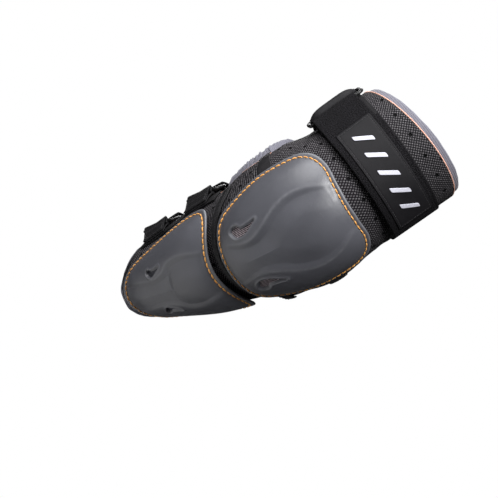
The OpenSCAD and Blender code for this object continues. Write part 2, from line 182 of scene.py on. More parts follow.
def fabric(name, a0, a1, low, high, d_in, d_out, mat, n=60, da=2.0, wrap=False, push=None, sway=None):
    """Cloth between two edges, low(a) and high(a), with rounded edges."""
    k = int(round(abs(a1 - a0) / da)) + 1
    a = np.linspace(a0, a1, k)
    if wrap:
        a = a[:-1]
    f, o, h = section(n, d_out - d_in)
    A = a[:, None] + 0 * f
    lo, hi = low(A), high(A)
    s = lo + (hi - lo) * f + o
    if sway:
        A = A + sway(s, A)
    d = (d_in + d_out) / 2 + h + (push(s, A) if push else 0)
    Aw = np.concatenate([A, A[:1] + 360], 0) if wrap else A
    sw = np.concatenate([s, s[:1]], 0) if wrap else s
    U = np.stack([np.radians(Aw) * girth(sw), sw], -1)
    return grids(name, [(on(s, A, d), U, wrap, True, not wrap)], mat)


def tube(P, N, rw, rh, closed=False, n=8):
    """A grid for a bead with an elliptic section along P, with up direction N."""
    T = np.roll(P, -1, 0) - np.roll(P, 1, 0) if closed else np.gradient(P, axis=0)
    T /= np.linalg.norm(T, axis=1)[:, None]
    B = np.cross(T, N)
    B /= np.linalg.norm(B, axis=1)[:, None]
    N = np.cross(B, T)
    ph = np.linspace(0, 2 * pi, n, endpoint=False)
    rw, rh = np.broadcast_to(rw, len(P)), np.broadcast_to(rh, len(P))
    R = (P[:, None] + B[:, None] * (rw[:, None] * np.cos(ph))[..., None]
         + N[:, None] * (rh[:, None] * np.sin(ph))[..., None])
    u = np.concatenate([[0], np.cumsum(np.linalg.norm(np.diff(P, axis=0), axis=1))])
    if closed:
        u = np.append(u, u[-1] + np.linalg.norm(P[0] - P[-1]))
    U = np.stack(np.broadcast_arrays(u[:, None], np.linspace(0, 2 * pi, n + 1)[None] * float(np.max(rw))), -1)
    return R, U, closed, True, not closed


def normals(s, a, d):
    N = on(s, a, d + 1.0) - on(s, a, d)
    return N / np.linalg.norm(N, axis=-1)[..., None]


def bead(name, s, a, d, rw, rh, mat, closed=False):
    s, a, d = np.broadcast_arrays(*[np.asarray(x, float) for x in (s, a, d)])
    return grids(name, [tube(on(s, a, d), normals(s, a, d), rw, rh, closed, 10)], mat)


def sewn(P, N, pitch, length, r, rise=.55, closed=False, slant=0.0, jitter=.12, seed=1):
    """Grids for a run of separate thread stitches along P: each one arches up and dives back in."""
    g = np.random.default_rng(seed)
    if closed:
        P, N = np.concatenate([P, P[:1]]), np.concatenate([N, N[:1]])
    L = np.concatenate([[0], np.cumsum(np.linalg.norm(np.diff(P, axis=0), axis=1))])
    k = max(1, int(round(L[-1] / pitch)))
    step = L[-1] / k
    x = np.linspace(-1, 1, 11)
    out = []
    for i in range(k):
        mid = (i + .5) * step + g.normal(0, jitter * .5)
        pos = mid + x * length * step / pitch / 2
        C = np.stack([np.interp(pos, L, P[:, c]) for c in range(3)], -1)
        M = np.stack([np.interp(pos, L, N[:, c]) for c in range(3)], -1)
        T = C[-1] - C[0]
        side = np.cross(T / np.linalg.norm(T), M[5])
        C = C + side * (x * (slant + g.normal(0, jitter * .6)))[:, None]
        C = C + M * ((1 - np.abs(x)**3) * rise * r * 1.6 - np.abs(x)**5 * r * 1.4 + g.normal(0, .04))[:, None]
        out.append(tube(C, M, r * (1 - .45 * x**4), r * (1 - .45 * x**4), n=7))
    return out


def seam_line(name, s, a, d, pitch, length, r, mat, **kw):
    s, a, d = np.broadcast_arrays(*[np.asarray(x, float) for x in (s, a, d)])
    return grids(name, sewn(on(s, a, d), normals(s, a, d), pitch, length, r, **kw), mat)


# ---------------------------------------------------------------- materials
def node(t, kind, ins=None, **props):
    n = t.nodes.new("ShaderNode" + kind)
    for k, v in props.items():
        setattr(n, k, v)
    for k, v in (ins or {}).items():
        if isinstance(v, bpy.types.NodeSocket):
            t.links.new(v, n.inputs[k])
        else:
            n.inputs[k].default_value = v
    return n


def mth(t, op, a, b=0.0, clamp=False):
    return node(t, "Math", {0: a, 1: b}, operation=op, use_clamp=clamp).outputs[0]


def rng(t, x, a, b, c=0.0, d=1.0):
    return node(t, "MapRange", {0: x, 1: a, 2: b, 3: c, 4: d}, interpolation_type="SMOOTHSTEP").outputs[0]


def lin(t, x, a, b, c=0.0, d=1.0):
    return node(t, "MapRange", {0: x, 1: a, 2: b, 3: c, 4: d}).outputs[0]


def mixc(t, f, a, b):
    n = node(t, "Mix", data_type="RGBA")
    for k, v in ((0, f), (6, a), (7, b)):
        if isinstance(v, bpy.types.NodeSocket):
            t.links.new(v, n.inputs[k])
        else:
            n.inputs[k].default_value = (*v, 1.0) if k else v
    return n.outputs[2]


def uvmm(t, rot=0.0, scale=100.0):
    """The piece's own flat coordinates in mm, from its UV map."""
    u = node(t, "UVMap", uv_map="UVMap").outputs[0]
    return node(t, "Mapping", {0: u, 2: (0, 0, rot), 3: (scale, scale, scale)}).outputs[0]


def objmm(t, scale=1000.0):
    o = node(t, "TexCoord").outputs["Object"]
    return node(t, "Mapping", {0: o, 3: (scale,) * 3}).outputs[0]


def grid_dist(t, pitch):
    """Distance in mm to the nearest point of a staggered grid, of that row spacing."""
    k = pitch / math.sqrt(2)
    v = uvmm(t, rot=pi / 4, scale=100 / k)
    n = node(t, "TexVoronoi", {"Vector": v, "Scale": 1.0, "Randomness": 0.0}, voronoi_dimensions="2D")
    return mth(t, "MULTIPLY", n.outputs["Distance"], k)


def wave(t, axis, pitch, rot=0.0, distort=0.0):
    """0 to 1 ribs across an axis of the UV map, one each pitch mm."""
    v = uvmm(t, rot=rot, scale=100.0)
    sep = node(t, "SeparateXYZ", {0: v})
    x = mth(t, "MULTIPLY", sep.outputs[axis], 2 * pi / pitch)
    if distort:
        nz = noise(t, v, .35)
        x = mth(t, "ADD", x, mth(t, "MULTIPLY", mth(t, "SUBTRACT", nz, .5), distort))
    return lin(t, mth(t, "SINE", x), -1, 1)


def noise(t, v, scale, detail=3.0, rough=.55):
    return node(t, "TexNoise", {"Vector": v, "Scale": scale, "Detail": detail, "Roughness": rough}).outputs[0]


def material(name, color, rough, build=None, **sockets):
    m = bpy.data.materials.new(name)
    m.use_nodes = True
    t = m.node_tree
    b = t.nodes["Principled BSDF"]
    b.inputs["Base Color"].default_value = (*color, 1)
    b.inputs["Roughness"].default_value = rough
    for k, v in sockets.items():
        b.inputs[k.replace("_", " ")].default_value = v
    m.diffuse_color = (*color, 1)
    if build:
        c, r, bump, strength, dist = build(t)
        if c is not None:
            t.links.new(c, b.inputs["Base Color"])
        if r is not None:
            t.links.new(r, b.inputs["Roughness"])
        if bump is not None:
            bn = node(t, "Bump", {"Height": bump, "Strength": strength, "Distance": dist / 1000})
            t.links.new(bn.outputs[0], b.inputs["Normal"])
    return m


def m_mesh(t):
    """Black warp-knit with pale staggered dots, punched holes painted near-black as the shade inside them, and ribs
    where it is stretched.
    """
    v = uvmm(t)
    sep = node(t, "SeparateXYZ", {0: v})
    big = noise(t, v, .06, 2)
    fine = noise(t, v, .9, 2)
    dots = rng(t, grid_dist(t, 2.5), .38, .72, 1, 0)
    dots = mth(t, "MULTIPLY", dots, lin(t, fine, .35, .65, .35, 1.0))
    holes = rng(t, grid_dist(t, 18.5), .8, 1.75, 1, 0)
    knit = mth(t, "MULTIPLY", wave(t, 0, 1.9), wave(t, 1, 1.9))
    side = rng(t, mth(t, "ABSOLUTE", sep.outputs[0]), 40, 47)
    below = mth(t, "MULTIPLY", rng(t, sep.outputs[1], -8, -9), rng(t, sep.outputs[1], -66, -56))
    rib_zone = mth(t, "MULTIPLY", side, below)
    ribs = rng(t, wave(t, 1, 2.1, distort=1.6), .50, .92)
    ribs = mth(t, "MULTIPLY", ribs, lin(t, noise(t, v, .6, 2), .35, .62, .05, .8))
    pale = node(t, "Mix", {0: rib_zone, 2: dots, 3: ribs}).outputs[0]
    pale = mth(t, "MULTIPLY", pale, mth(t, "SUBTRACT", 1.0, holes, True), True)
    c = mixc(t, lin(t, big, .3, .7), (.005, .0046, .0058), (.009, .0085, .0102))
    c = mixc(t, pale, c, (.14, .132, .14))
    # the punched holes are painted near-black: painted shade inside the holes
    c = mixc(t, holes, c, (.001, .001, .0015))
    r = lin(t, pale, 0, 1, .85, .65)
    raised = mth(t, "ADD", mth(t, "MULTIPLY", knit, .5), mth(t, "MULTIPLY", pale, .5))
    h = mth(t, "SUBTRACT", raised, mth(t, "MULTIPLY", holes, 2.4))
    return c, r, h, .9, .5


def m_liner(t):
    v = uvmm(t)
    n1, n2 = noise(t, v, .12, 3), noise(t, v, 1.8, 3, .7)
    rib = wave(t, 1, 1.5, distort=1.0)
    c = mixc(t, n1, (.130, .128, .158), (.165, .163, .197))
    c = mixc(t, lin(t, n2, .4, .75, 0, .4), c, (.11, .108, .13))
    return c, lin(t, n2, .3, .7, .95, .8), mth(t, "ADD", n2, mth(t, "MULTIPLY", rib, .5)), .8, .45


def m_coral(t):
    w = wave(t, 0, 1.15, rot=.5)
    n = noise(t, uvmm(t), .8, 2)
    # darker coral in the grooves between the overlock loops: painted shade
    c = mixc(t, rng(t, w, .05, .45), (.55, .24, .17), (.86, .46, .34))
    c = mixc(t, lin(t, n, .3, .7, 0, .5), c, (.90, .62, .50))
    return c, lin(t, w, 0, 1, .85, .6), w, 1.0, .4


def m_gold(t):
    w = wave(t, 0, .85, rot=.7)
    n = noise(t, uvmm(t), .35, 2)
    # darker brown-orange in the twist grooves of the stitch thread: painted shade
    c = mixc(t, rng(t, w, .05, .5), (.34, .10, .012), (.80, .36, .055))
    c = mixc(t, lin(t, n, .35, .7, 0, .5), c, (.95, .56, .14))
    return c, lin(t, w, 0, 1, .6, .42), w, .8, .22


def m_cap(t):
    """Satin moulded plastic: fine grain, soft mottling, and a painted highlight, paler and a little rougher, along
    the rims, vent lips and relief crest that the mesh attribute marks.
    """
    v = objmm(t)
    big, mid, fine = noise(t, v, .035, 2), noise(t, v, .3, 3), noise(t, v, 2.6, 2, .6)
    # the mesh attribute read here marks the painted highlight on the rims, vent lips and relief crest
    worn = node(t, "Attribute", attribute_name="rim_highlight").outputs["Fac"]
    scr = noise(t, node(t, "Mapping", {0: v, 2: (.4, .2, .9), 3: (.05, 1.1, 1.1)}).outputs[0], 1.0, 3)
    edge = mth(t, "MULTIPLY", worn, lin(t, mid, .3, .65, .45, 1), True)
    c = mixc(t, lin(t, big, .3, .7), (.060, .061, .071), (.073, .074, .086))
    c = mixc(t, lin(t, fine, .4, .7, 0, .25), c, (.096, .097, .109))
    # paler colour there: painted highlight, mottled, with a little more roughness
    c = mixc(t, edge, c, (.15, .152, .165))
    c = mixc(t, rng(t, scr, .66, .74, 0, .18), c, (.13, .13, .14))
    r = mth(t, "ADD", lin(t, mid, .3, .7, .35, .45), mth(t, "MULTIPLY", edge, .08))
    h = mth(t, "ADD", mth(t, "MULTIPLY", fine, .6), mth(t, "MULTIPLY", mid, .8))
    return c, r, h, .28, .25


def m_net(t):
    """Ribbed pale net seen through the vents, dimmed overall and near-black between the ribs as painted shade inside
    the vent.
    """
    w, x = wave(t, 0, 1.15, distort=.8), wave(t, 1, 2.2)
    k = rng(t, mth(t, "ADD", w, mth(t, "MULTIPLY", x, .25)), .55, 1.0)
    # near-black between the ribs and the dimmed pale: painted shade in the vent recess
    return mixc(t, k, (.03, .026, .03), (.50, .42, .45)), None, k, 1.0, .4


# floor of the forearm cap's vents: painted near-black as the shade inside the vent, with fine noise and weave in
# colour and bump
def m_vent_shade(t):
    v = uvmm(t)
    n, w = noise(t, v, .5, 3), wave(t, 0, 1.0)
    c = mixc(t, lin(t, n, .3, .7), (.030, .031, .040), (.062, .063, .078))
    return c, lin(t, n, .3, .7, .6, .75), mth(t, "ADD", w, n), .4, .3


def webbing(rib, across, dark, pale):
    def build(t):
        v = uvmm(t)
        r1, r2 = wave(t, 0, rib, distort=.5), wave(t, 1, across)
        n = noise(t, v, .08, 3)
        f = noise(t, v, 1.6, 2, .7)
        tw = mth(t, "MULTIPLY", r1, lin(t, r2, 0, 1, .45, 1))
        # paler rib tops and darker grooves of one black yarn: painted highlight and painted shade
        c = mixc(t, mth(t, "MULTIPLY", tw, lin(t, n, .3, .7, .5, 1), True), dark, pale)
        c = mixc(t, lin(t, f, .55, .75, 0, .5), c, tuple(1.5 * x for x in pale))
        return c, lin(t, tw, 0, 1, .8, .52), mth(t, "ADD", tw, mth(t, "MULTIPLY", f, .25)), .9, .35
    return build


def m_label(t):
    v = uvmm(t)
    tw = mth(t, "MULTIPLY", wave(t, 0, .62, rot=.785), wave(t, 1, .62, rot=.785))
    n, f = noise(t, v, .05, 2), noise(t, v, 2.2, 2)
    c = mixc(t, lin(t, n, .3, .7), (.0065, .0062, .0075), (.0105, .010, .0115))
    c = mixc(t, lin(t, f, .55, .75, 0, .5), c, (.022, .021, .023))
    return c, lin(t, n, .3, .7, .50, .62), tw, .5, .2


def m_print(t):
    v = uvmm(t)
    w = mth(t, "MULTIPLY", wave(t, 0, .7), wave(t, 1, .7))
    n = noise(t, v, .9, 4, .65)
    c = mixc(t, lin(t, n, .3, .7), (.46, .46, .53), (.58, .58, .65))
    c = mixc(t, rng(t, n, .30, .24), c, (.25, .25, .28))
    return c, lin(t, n, .3, .7, .5, .62), w, .35, .2


def m_loop(t):
    v = uvmm(t)
    cells = node(t, "TexVoronoi", {"Vector": v, "Scale": 1.15, "Randomness": 1.0}, voronoi_dimensions="2D")
    vo = cells.outputs["Distance"]
    n = noise(t, v, .1, 2)
    # loop tops paler, the gaps between loops darker: painted shade
    c = mixc(t, rng(t, vo, .12, .5), (.019, .0178, .0205), (.0026, .0025, .003))
    c = mixc(t, lin(t, n, .4, .7, 0, .4), c, (.0045, .0043, .005))
    return c, None, mth(t, "SUBTRACT", 1.0, vo), 1.0, .6


def m_hook(t):
    k = rng(t, grid_dist(t, 1.4), .15, .5, 1, 0)
    # hook heads painted paler than the tape: painted highlight
    return mixc(t, k, (.012, .012, .013), (.05, .05, .052)), None, k, 1.0, .5


def m_tape(t):
    v = uvmm(t)
    n, f = noise(t, v, .07, 3), noise(t, v, 1.3, 3, .65)
    w = wave(t, 1, .8)
    c = mixc(t, lin(t, n, .3, .7), (.0055, .0054, .0062), (.0115, .011, .0125))
    c = mixc(t, lin(t, f, .5, .72, 0, .5), c, (.022, .021, .023))
    return c, lin(t, f, .3, .7, .62, .48), mth(t, "ADD", w, f), .45, .25


def m_seamtape(t):
    v = uvmm(t)
    n, f = noise(t, v, .15, 3), noise(t, v, 1.2, 3, .6)
    c = mixc(t, lin(t, n, .3, .7), (.009, .0085, .0098), (.016, .0152, .0168))
    return c, lin(t, f, .3, .7, .6, .45), mth(t, "ADD", n, f), .3, .25


def m_foam(t):
    v = objmm(t)
    p = node(t, "TexVoronoi", {"Vector": v, "Scale": .9}).outputs["Distance"]
    n = noise(t, v, .2, 3)
    # darker in the pore centres, paler on the cell walls: painted shade in the pores
    c = mixc(t, rng(t, p, .1, .5), (.012, .012, .014), (.035, .035, .04))
    return c, lin(t, n, .3, .7, .95, .85), p, .8, .5


def m_ring(t):
    v = objmm(t)
    n, s = noise(t, v, .5, 3), noise(t, node(t, "Mapping", {0: v, 3: (.1, 2.5, 2.5)}).outputs[0], 1, 3)
    c = mixc(t, lin(t, n, .3, .7), (.003, .003, .0035), (.008, .008, .0085))
    return c, lin(t, s, .3, .7, .28, .45), s, .15, .12


def m_thread(t):
    w = wave(t, 0, .8, rot=.7)
    # paler twist ridges, darker grooves: painted shade and painted highlight
    return mixc(t, w, (.010, .010, .011), (.055, .053, .056)), None, w, .6, .15


MESH = material("mesh_black", (.015, .015, .017), .78, m_mesh, Specular_IOR_Level=.12)
LINER = material("liner_grey", (.28, .28, .36), .9, m_liner, Sheen_Weight=.12, Sheen_Roughness=.6,
                 Specular_IOR_Level=.2)
CORAL = material("thread_coral", (.86, .34, .22), .7, m_coral, Specular_IOR_Level=.3)
GOLD = material("thread_gold", (.80, .36, .055), .5, m_gold, Sheen_Weight=.2)
CAP = material("cap_plastic", (.095, .098, .108), .4, m_cap, Coat_Weight=.06, Coat_Roughness=.3,
               Specular_IOR_Level=.42)
NET = material("vent_net", (.4, .35, .37), .8, m_net, Specular_IOR_Level=.2)
# near-black painted shade for the forearm vents' floor
VENT_SHADE = material("vent_shade_floor", (.06, .06, .07), .7, m_vent_shade, Specular_IOR_Level=.3)
WEB = material("webbing_black", (.013, .013, .014), .65,
               webbing(1.25, 2.6, (.0045, .0043, .005), (.019, .018, .020)), Specular_IOR_Level=.15)
RIB = material("webbing_ribbed", (.015, .015, .016), .6,
               webbing(2.1, 3.4, (.0025, .0024, .003), (.016, .0155, .017)), Specular_IOR_Level=.2)
LABEL = material("label_satin", (.012, .012, .013), .55, m_label, Specular_IOR_Level=.15)
PRINT = material("print_white", (.75, .75, .8), .55, m_print)
LOOP = material("loop_pile", (.02, .02, .021), .95, m_loop, Specular_IOR_Level=.1)
HOOK = material("hook_tape", (.02, .02, .02), .6, m_hook, Specular_IOR_Level=.25)
TAPE = material("binding_black", (.015, .015, .016), .55, m_tape, Specular_IOR_Level=.22)
SEAM = material("seam_tape_grey", (.022, .021, .023), .55, m_seamtape, Specular_IOR_Level=.25)
FOAM = material("foam_dark", (.02, .02, .022), .9, m_foam)
RING = material("ring_gloss", (.006, .006, .007), .3, m_ring, Specular_IOR_Level=.3)
THREAD = material("thread_black", (.02, .02, .02), .6, m_thread, Specular_IOR_Level=.25)


def put(ob, body=None, bend=None, stands_for=()):
    if body:
        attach(ob, body)
    if bend == "upper":
        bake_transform(ob)
    elif bend == "lower":
        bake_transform(ob)
    if stands_for:
        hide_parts(*stands_for)
    return ob


# ------------------------------------------------------------------- sleeve
EDGE = 104.0                    # the front opening's edge, degrees from the back of the arm
SHELL, LINING_D = 1.4, (-3.1, -1.6)
PAST = 6.6                      # how far the liner shows past the edge, in degrees
hem = lambda a: HEM_TOP + 9 * cosd(a + 12)
wrist = lambda a: -177 + 25 * ease((np.abs(a) - 10) / 95)
WRIST = -152.0
crook = lambda a: 34 * ease((from_back(a) - EDGE) / 20)
crook_lip = lambda a: 28 * ease((from_back(a) - EDGE - 6.5) / 22)


def from_back(a):
    """Degrees from the back of the arm, 0 to 180."""
    return np.abs((a + 180) % 360 - 180)


def gape(s, a):
    """The bent sleeve's front edges stand off the arm beside the elbow."""
    b = from_back(a)
    inner = (a + 180) % 360 - 180 < 0
    d = 5.0 * ease((b - 72) / 32) * (1 - ease((b - 112) / 14)) * ease((s + 60) / 34) * ease((38 - s) / 26)
    bulge = 6.0 * ease((b - 57) / 17) * (1 - ease((b - 78) / 26)) * ease((s + 57) / 12) * ease((30 - s) / 40)
    return d + inner * bulge


def pucker(s, a):
    """Small hollows in the worn cloth. They only go inwards, so nothing over it is touched."""
    x = np.radians(a) * girth(s)
    free = ease((42 - s) / 8) * ease((s + 40) / 10) + .35
    p = .30 * waves(x * .45, s, 3, 16) + .22 * waves(x, s * .5, 5, 9)
    p = p + .35 * waves(x, s, 8, 30) * free
    p = p * (1 - .75 * np.exp(-((hem(a) - s) / 5)**2))
    return gape(s, a) - np.abs(p) * .8


upper = fabric("sleeve_upper", -180, 180, crook, hem, -SHELL, 0, MESH, n=64, da=2.4, wrap=True, push=pucker)
put(upper, bend="upper", stands_for=["upper_shell", "upper_gusset"])
lower = fabric("sleeve_lower", -EDGE, EDGE, wrist, lambda a: 0 * a, -SHELL, 0, MESH, n=110, da=2.4, push=pucker)
put(lower, bend="lower", stands_for=["elbow_panel", "lower_gusset", "forearm_shell"])


def flare(s, a):
    """How far the free fleece edge turns outwards at the crook, 0 to 1."""
    b = from_back(a)
    past = np.where(s > 0, (crook(a) - s) * 1.1, (b - EDGE) * .8)
    zone = ease((s + 62) / 14) * ease((30 - s) / 10) * (b < 128)
    return ease((past - .3) / 6.5) * zone


def lip_wave(s, a):
    cuff = 2.2 * ease((wrist(a) - 1 - s) / 4) * ease((np.abs(a - 35) - 10) / 40) * (s < -100)
    lip = 7.2 + .7 * waves(s, np.radians(a) * 45, 14, 5) + .35 * waves(s, a, 15, 1.9)
    return pucker(s, a) - .12 + cuff + flare(s, a) * lip


def lip_sway(s, a):
    past = ease((np.abs(a) - EDGE) / 6)
    return np.sign(a) * past * (2.2 * flare(s, a) + .5 * waves(s, 0 * a, 16, 6) + .25 * waves(s, 0 * a, 17, 2.2))


top_lip = lambda a: hem(a) + 6.0 + .12 * np.sin(np.radians(a) * 9) + .08 * np.sin(np.radians(a) * 23)
wrist_lip = lambda a: wrist(a) - 6.2 + .25 * np.sin(np.radians(a) * 11)
liner_u = fabric("liner_upper", -180, 180, crook_lip, top_lip,
                 *LINING_D, LINER, n=84, da=1.8, wrap=True, push=lip_wave)
put(liner_u, bend="upper", stands_for=["upper_liner"])
liner_l = fabric("liner_lower", -EDGE - PAST, EDGE + PAST, wrist_lip, lambda a: 0 * a,
                 *LINING_D, LINER, n=190, da=1.3, push=lip_wave, sway=lip_sway)
put(liner_l, bend="lower", stands_for=["elbow_liner", "forearm_liner"])

# coral overlock along every cloth edge
a = np.linspace(-180, 180, 260)[:-1]
hem_seam = bead("hem_overlock", hem(a) + .45, a, -.6 + pucker(hem(a), a), .52, .7, CORAL, closed=True)
put(hem_seam, body="upper", stands_for=["upper_edge_seam"])
near_edge, far_edge = EDGE + .5, 360 - EDGE - .5
a = np.concatenate([np.full(4, near_edge), np.linspace(near_edge, far_edge, 200)[1:-1], np.full(4, far_edge)])
s = crook(a)
s[:4], s[-4:] = np.linspace(0, .02, 4), np.linspace(.02, 0, 4)
inset = .5 * ease((np.abs(a - 180) < 60) * 1.0)
crook_u = bead("crook_overlock", s - inset, a, -.55 + pucker(s, a), .55, .7, CORAL)
put(crook_u, bend="upper")
s = np.linspace(0, WRIST, 200)
a = np.full(200, EDGE + .5)
side_seam = grids("side_overlock", [tube(on(s, k * a, -.5 + pucker(s, k * a)), normals(s, k * a, 0.0), .52, .7, n=10)
                                    for k in (1, -1)], CORAL)
put(side_seam, bend="lower", stands_for=["crook_edge_seams", "forearm_edge_seam"])
a = np.linspace(EDGE + .8, -EDGE - .8, 150)
put(bead("wrist_edge_tape", wrist(a) - .1, a, -.35 + 0 * a, 1.5, 1.25, TAPE), body="forearm")

# --------------------------------------------------------------------- caps
TURN, WALL = 7.0, 2.3           # the caps' middle line in degrees, their wall in mm
SKEW = .04                      # how far an outline leans along the arm per degree
FLANGE_GROWS = .022             # the flange past the stitches, as a share of the outline
CROWN_ENDS, SEWN_AT = .93, .935  # shares of the outline where the crown ends and the stitches run
# Half outlines: s in mm and degrees from the cap's middle line.
ELBOW = [(28.5, 0), (29, 18), (29.5, 34), (26, 48), (18, 57), (4, 61), (-10, 61), (-23, 56), (-36, 46.5),
         (-44, 35), (-48, 18), (-49, 0)]
FORE = [(-65.5, 0), (-64.5, 14), (-62, 28), (-60, 42), (-61, 54), (-67, 62), (-82, 64), (-104, 60.5),
        (-130, 53.5), (-150, 45.5), (-164, 34), (-171.5, 18), (-174, 0)]


def whole(h):
    l = np.array(list(h) + [(p[0], -p[1]) for p in h[-2:0:-1]], float)
    l[:, 0] += SKEW * l[:, 1]
    return l + (l - l.mean(0)) * FLANGE_GROWS


def crown(spec, rho):
    return spec["flange"] + spec["rise"] * (1 - np.minimum(rho / CROWN_ENDS, 1)**3.2)


def lift(spec, s):
    return 1.4 * ease((-30 - s) / 16) if spec["lifted"] else -1.5 * ease((-148 - s) / 24)


def loop_at(l, t):
    n, i = len(l), np.floor(t).astype(int)
    f = (t - i)[:, None]
    p, q, r, w = l[(i - 1) % n], l[i % n], l[(i + 1) % n], l[(i + 2) % n]
    return q + f / 2 * (r - p + f * (2 * p - 5 * q + 4 * r - w + f * (3 * (q - r) + w - p)))


def outline(half, R, count):
    """The cap's edge, evenly spaced: s and the angle from the cap's middle line."""
    l = whole(half)
    e = loop_at(l, np.linspace(0, len(l), 3001)[:-1])
    q = np.stack([e[:, 0], np.radians(e[:, 1]) * R], -1)
    L = np.concatenate([[0], np.cumsum(np.linalg.norm(np.diff(np.concatenate([q, q[:1]]), axis=0), axis=1))])
    x = np.linspace(0, L[-1], count + 1)[:-1]
    ex = np.concatenate([e, e[:1]])
    return np.stack([np.interp(x, L, ex[:, 0]), np.interp(x, L, ex[:, 1])], -1)


def vent_distance(X, s, pts):
    """Distance to a comma-shaped outline, negative inside. pts are (s, X, radius)."""
    k = np.linspace(0, 1, 36)
    u = np.linspace(0, 1, len(pts))
    c = [hermite(u, [p[i] for p in pts], k) for i in range(3)]
    best = np.full(X.shape, 1e9)
    for cs, cx, cr in zip(*c):
        best = np.minimum(best, np.hypot(s - cs, X - cx) - cr)
    return best


def cap_shape(spec, s, ar, rho):
    """Height of the outer face over the mesh, the painted-highlight value for the rims, vent lips and relief crest,
    and the distance to a vent.
    """
    X = np.radians(ar) * spec["R"]
    h = crown(spec, rho) + lift(spec, s)
    s = s - SKEW * ar
    ls, lx, la = (np.array(v, float) for v in zip(*spec["line"]))
    o = np.argsort(ls)
    ls, lx, la = ls[o], np.radians(lx[o]) * spec["R"], la[o]
    path, amp = hermite(ls, lx, s), hermite(ls, la, s)
    slope = (hermite(ls, lx, s + .5) - hermite(ls, lx, s - .5))
    x = (path - np.abs(X)) / np.sqrt(1 + slope**2)
    w = spec["band"] * (.35 + .65 * amp)
    inside = ease((CROWN_ENDS - rho) / .08)
    step = (.8 * np.clip(x / w, 0, 1) + .2 * ease(x / w)) * (1 - ease((x - w) / 13))
    h = h - spec["depth"] * np.where(X < 0, .55, 1) * amp * step * inside
    # painted highlight along the crest of the relief step
    rim_highlight = .55 * np.exp(-((x + .5) / 1.0)**2) * amp * inside
    mirrored = [(p[0], -p[1], p[2]) for p in spec["vent"]]
    sd = np.minimum(vent_distance(X, s, spec["vent"]), vent_distance(X, s, mirrored))
    h = h + .45 * np.exp(-((sd - 1.0) / .9)**2) - 2.1 * ease((.4 - sd) / .8)
    # painted highlight on the vents' raised lips
    rim_highlight = rim_highlight + .5 * np.exp(-((sd - .9) / .7)**2)
    groove = np.exp(-((rho - SEWN_AT) * 50 / 1.1)**2)
    h = h - .3 * groove
    # painted highlight on the flange at the cap's outer rim
    rim_highlight = rim_highlight + .8 * ease((rho - .965) / .03)
    return h, rim_highlight, sd


VENT_RIM = .42


def cap_patch(name, spec):
    """A cap's closed shell and its stitches. The grid is drawn to the vents' rims, so they are sharp."""
    spokes, rows = 300, 84
    e = outline(spec["half"], spec["R"], spokes)
    rad = np.hypot(e[:, 0] - spec["mid"], np.radians(e[:, 1]) * spec["R"])
    rim = WALL / 2
    lim = 1 - rim / rad
    rho = [np.linspace(.006, 1, rows)[:, None] * lim]
    drop = [np.zeros((rows, spokes))]
    for th in np.linspace(pi / 2, -pi / 2, 9)[1:]:
        rho.append((1 - (rim - rim * math.cos(th)) / rad)[None])
        drop.append(np.full((1, spokes), rim - rim * math.sin(th)))
    low = np.linspace(1, .006, 22)[1:, None] * lim
    rho.append(low)
    drop.append(np.full(low.shape, WALL))
    rho, drop = np.concatenate(rho), np.concatenate(drop)
    s = spec["mid"] + rho * (e[:, 0] - spec["mid"])
    ar = rho * e[:, 1]
    R = spec["R"]
    for _ in range(2):
        _, _, sd = cap_shape(spec, s, ar, rho)
        ds, da = .2, .25
        gs = (cap_shape(spec, s + ds, ar, rho)[2] - sd) / ds
        ga = (cap_shape(spec, s, ar + da, rho)[2] - sd) / (math.radians(da) * R)
        want = np.where(np.abs(sd) < VENT_RIM, np.where(sd > 0, VENT_RIM, -VENT_RIM) - sd, 0)
        top = np.arange(len(rho))[:, None] < rows
        s = s + np.where(top, want * gs * .8, 0)
        ar = ar + np.where(top, np.degrees(want * ga * .8 / R), 0)
    h, rim_highlight, sd = cap_shape(spec, s, ar, rho)
    plain = crown(spec, rho) + lift(spec, s)
    under = np.arange(len(rho))[:, None] >= rows + 8
    h = np.where(under, plain, h) - drop
    P = on(s, ar + TURN, h)
    U = np.stack([np.radians(ar) * R, s], -1)
    quad = (sd[:-1] + sd[1:]) / 2
    quad = (quad + np.roll(quad, -1, 1)) / 2
    mi = ((quad < -VENT_RIM) & (np.arange(len(rho) - 1)[:, None] < rows - 1)).astype(int)
    # the painted-highlight value is stored on the cap mesh as a point attribute
    ob = grids(name, [(P, U, False, True, True, mi)], [CAP, spec["net"]], {"rim_highlight": np.clip(rim_highlight, 0, 1)})
    s, ar = spec["mid"] + SEWN_AT * (e[:, 0] - spec["mid"]), SEWN_AT * e[:, 1]
    h = cap_shape(spec, s, ar, np.full(len(e), SEWN_AT))[0]
    stitches = sewn(on(s, ar + TURN, h), normals(s, ar + TURN, h), 4.7, 4.25, .54, closed=True,
                    slant=.16, seed=spec["seed"])
    thread = grids(name + "_stitches", stitches, GOLD)
    return ob, thread


# line is the relief line (s, degrees, strength). vent is a comma (s, X in mm, radius).
elbow_spec = dict(half=ELBOW, mid=-7.0, R=55.0, flange=6.0, rise=7.0, lifted=True, seed=4, band=4.6, depth=2.1,
                  net=NET,
                  line=[(-44, 18.5, .15), (-34, 15.8, .35), (-27.5, 13.2, .6), (-21, 13.3, .9), (-14.3, 17, 1),
                        (-7.5, 22.4, 1), (-1.4, 26, 1), (4.3, 27.8, .95), (10.4, 27.3, .8), (16.3, 25.1, .55), (23.3, 20.6, .2)],
                  vent=[(-29.3, 23.4, 3.2), (-27.6, 20.9, 3.3), (-24.2, 20.8, 2.6), (-20.4, 22.2, 1.5), (-16, 24.2, .3)])
